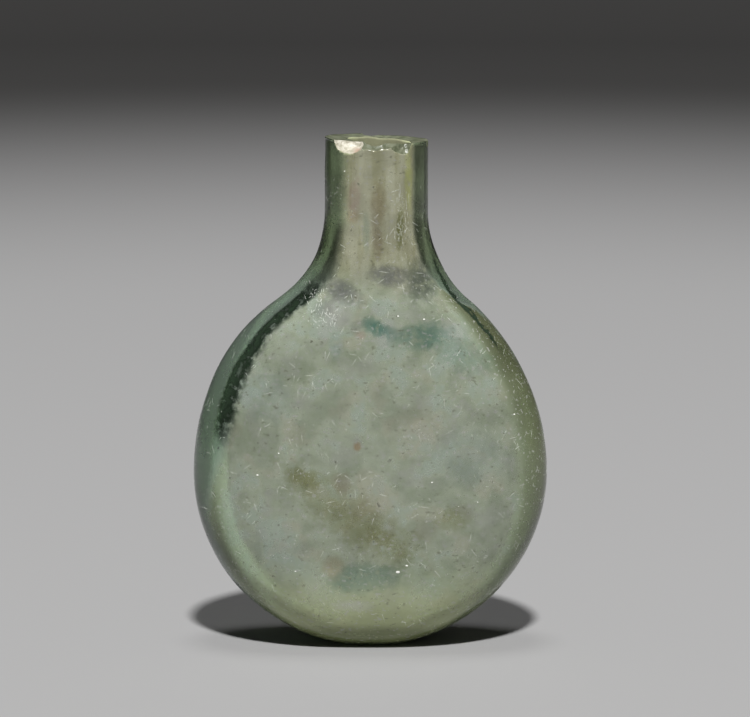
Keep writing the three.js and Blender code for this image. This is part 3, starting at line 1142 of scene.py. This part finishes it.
# %% Scratches
SHOULDER_FLAKES = {
    "Left": -8.2 * MM,
    "Right": -1.9 * MM,
    "Low": 45.0 * MM,
    "High": 49.8 * MM,
    "Behind": 0.0,
    "Density": 9.0e6,
    "Shortest": 0.1 * MM,
    "Longest": 0.7 * MM,
    "Half Width": 0.035 * MM,
    "First Turn": math.radians(30),
    "Last Turn": math.radians(150),
    "Seed": 54,
}
NECK_SCRATCHES = {
    "Left": 3.3 * MM,
    "Right": 5.2 * MM,
    "Low": 53.5 * MM,
    "High": 63.5 * MM,
    "Behind": 0.0,
    "Density": 7.0e6,
    "Longest": 1.0 * MM,
    "First Turn": math.radians(80),
    "Last Turn": math.radians(98),
    "Seed": 55,
}
SLIVER_PIECES = {
    "scratches": {},
    "shoulder_flakes": SHOULDER_FLAKES,
    "neck_scratches": NECK_SCRATCHES,
}
for name, values in SLIVER_PIECES.items():
    finish_piece(run_tree(name, flask, tree, values))

# %% [markdown]
# ## Glints
#
# A few painted glints, bright white flakes that stand in for sparkles of light, have places of
# their own on the front. A straight line from the front finds the skin there.

# %% Glints
GLINTS = [  # x and z on the front face and the radius, in mm
    (-15.2, 24.7, 0.16),
    (-12.3, 27.8, 0.12),
    (3.8, 11.5, 0.28),
    (5.0, 12.4, 0.18),
    (8.4, 23.9, 0.12),
    (19.6, 32.6, 0.16),
    (3.8, 46.4, 0.12),
    (7.3, 45.9, 0.13),
    (-3.4, 65.6, 0.12),
    (-10.1, 11.5, 0.12),
    (14.6, 21.0, 0.09),
]
GLINT_HEIGHT = 0.6  # a glint's height over its width
GLINT_THICKNESS = 0.02 * MM
IN_FRONT = -50  # mm, a place well before the flask

glint_white, _, _ = new_material("glint_white", Base_Color=rgb(0.9, 0.9, 0.84), Roughness=0.4)


def glints():
    """Painted glints: bright little flakes at chosen places on the front, laid flat on the skin."""
    flakes = bmesh.new()
    corners = [corner.co for corner in flask.data.vertices]
    skin_tree = BVHTree.FromPolygons(corners, [face.vertices for face in flask.data.polygons])
    for x, z, radius in GLINTS:
        place, out, _, _ = skin_tree.ray_cast(Vector((x, IN_FRONT, z)) * MM, Vector((0, 1, 0)))
        flat = Matrix.Diagonal((radius * MM, radius * GLINT_HEIGHT * MM, GLINT_THICKNESS, 1))
        lie = out.to_track_quat("Z", "Y").to_matrix().to_4x4()
        laid = Matrix.Translation(place) @ lie @ flat
        bmesh.ops.create_icosphere(flakes, subdivisions=2, radius=1.0, matrix=laid)
    mesh = bpy.data.meshes.new("glints")
    flakes.to_mesh(mesh)
    flakes.free()
    mesh.materials.append(glint_white)
    return in_scene("glints", mesh)


finish_piece(glints())

# %% [markdown]
# ## The place it stands in
#
# The studio is a wide round sheet of pale paper that curves up all round, so that it fills the
# view from every side. Its colour is palest under the flask and greyer further off: painted shade
# where the light falls away.

# %% Stage
PAPER_FLAT = 1.35  # radius of the flat part, in metres
PAPER_RISE = 1.1
PAPER_GAP = 0.02 * MM
STAGE_STEPS = 96
CURVE_STEPS = 24
# painted shade: the paper's colour darkens from near to far, where the light falls away
PAPER_NEAR, PAPER_FAR_SHADE = rgb(0.27, 0.268, 0.268), rgb(0.047, 0.046, 0.045)
PAPER_SHADE_FALLOFF = (0.35, 1.1)  # distances in metres between which the paper goes from near to far
PAPER_STRETCH = (1.5, 1, 1)

profile = [(0, 0), (PAPER_FLAT, 0)]
for turn in np.linspace(0, math.pi / 2, CURVE_STEPS)[1:]:
    outward = PAPER_FLAT + PAPER_RISE * math.sin(turn) / 2
    profile.append((outward, PAPER_RISE * (1 - math.cos(turn)) / 2))
points, faces = [], []
for radius, high in profile:
    for step in range(STAGE_STEPS):
        angle = 2 * math.pi * step / STAGE_STEPS
        points.append((radius * math.cos(angle), radius * math.sin(angle), high - PAPER_GAP))
for i in range(len(profile) - 1):
    for j in range(STAGE_STEPS):
        k = (j + 1) % STAGE_STEPS
        row, above = i * STAGE_STEPS, (i + 1) * STAGE_STEPS
        faces.append((row + j, above + j, above + k, row + k))
mesh = bpy.data.meshes.new("paper")
mesh.from_pydata(points, [], faces)
mesh.shade_smooth()
paper = in_scene("paper", mesh)

paper_finish, tree, shader = new_material("pale_paper", Roughness=0.9, Specular_IOR_Level=0.1)
length = add(tree, "ShaderNodeVectorMath", {"operation": "LENGTH"})
put(tree, object_place(tree, PAPER_STRETCH), length.inputs[0])
# the painted shade deepens with distance from the flask
far = Field(tree, length.outputs["Value"]).mapped(*PAPER_SHADE_FALLOFF)
put(tree, blend(tree, far, PAPER_NEAR, PAPER_FAR_SHADE), shader.inputs["Base Color"])
paper.data.materials.append(paper_finish)
print("The paper has", len(faces), "faces")

# %% [markdown]
# ## Light
#
# A soft key lamp stands in front, high up, and throws the shadow back under the body. A broad
# soft light overhead fills it. The world is nearly dark, so the edges of the glass stay deep.

# %% Lights
LAMPS = [  # name, place and width in metres, and power in watts
    ("key", (0.12, -1.7, 2.72), 0.25, 170),
    ("overhead", (0, 0.1, 1.9), 0.5, 10),
]
LAMP_AIM = Vector((0, 0, 0.03))
WORLD_GREY = rgb(0.5, 0.5, 0.5)
WORLD_STRENGTH = 0.075

for name, place, width, power in LAMPS:
    light = bpy.data.lights.new(name, "AREA")
    light.shape = "DISK"
    light.size = width
    light.energy = power
    lamp = in_scene(name, light)
    lamp.location = place
    lamp.rotation_euler = (LAMP_AIM - Vector(place)).to_track_quat("-Z", "Y").to_euler()

world = bpy.data.worlds.new("world")
world.use_nodes = True
background = world.node_tree.nodes["Background"]
background.inputs["Color"].default_value = WORLD_GREY
background.inputs["Strength"].default_value = WORLD_STRENGTH
scene.world = world
scene.view_settings.view_transform = "Standard"
scene.view_settings.look = "None"
print("Lamps:", [name for name, *_ in LAMPS])
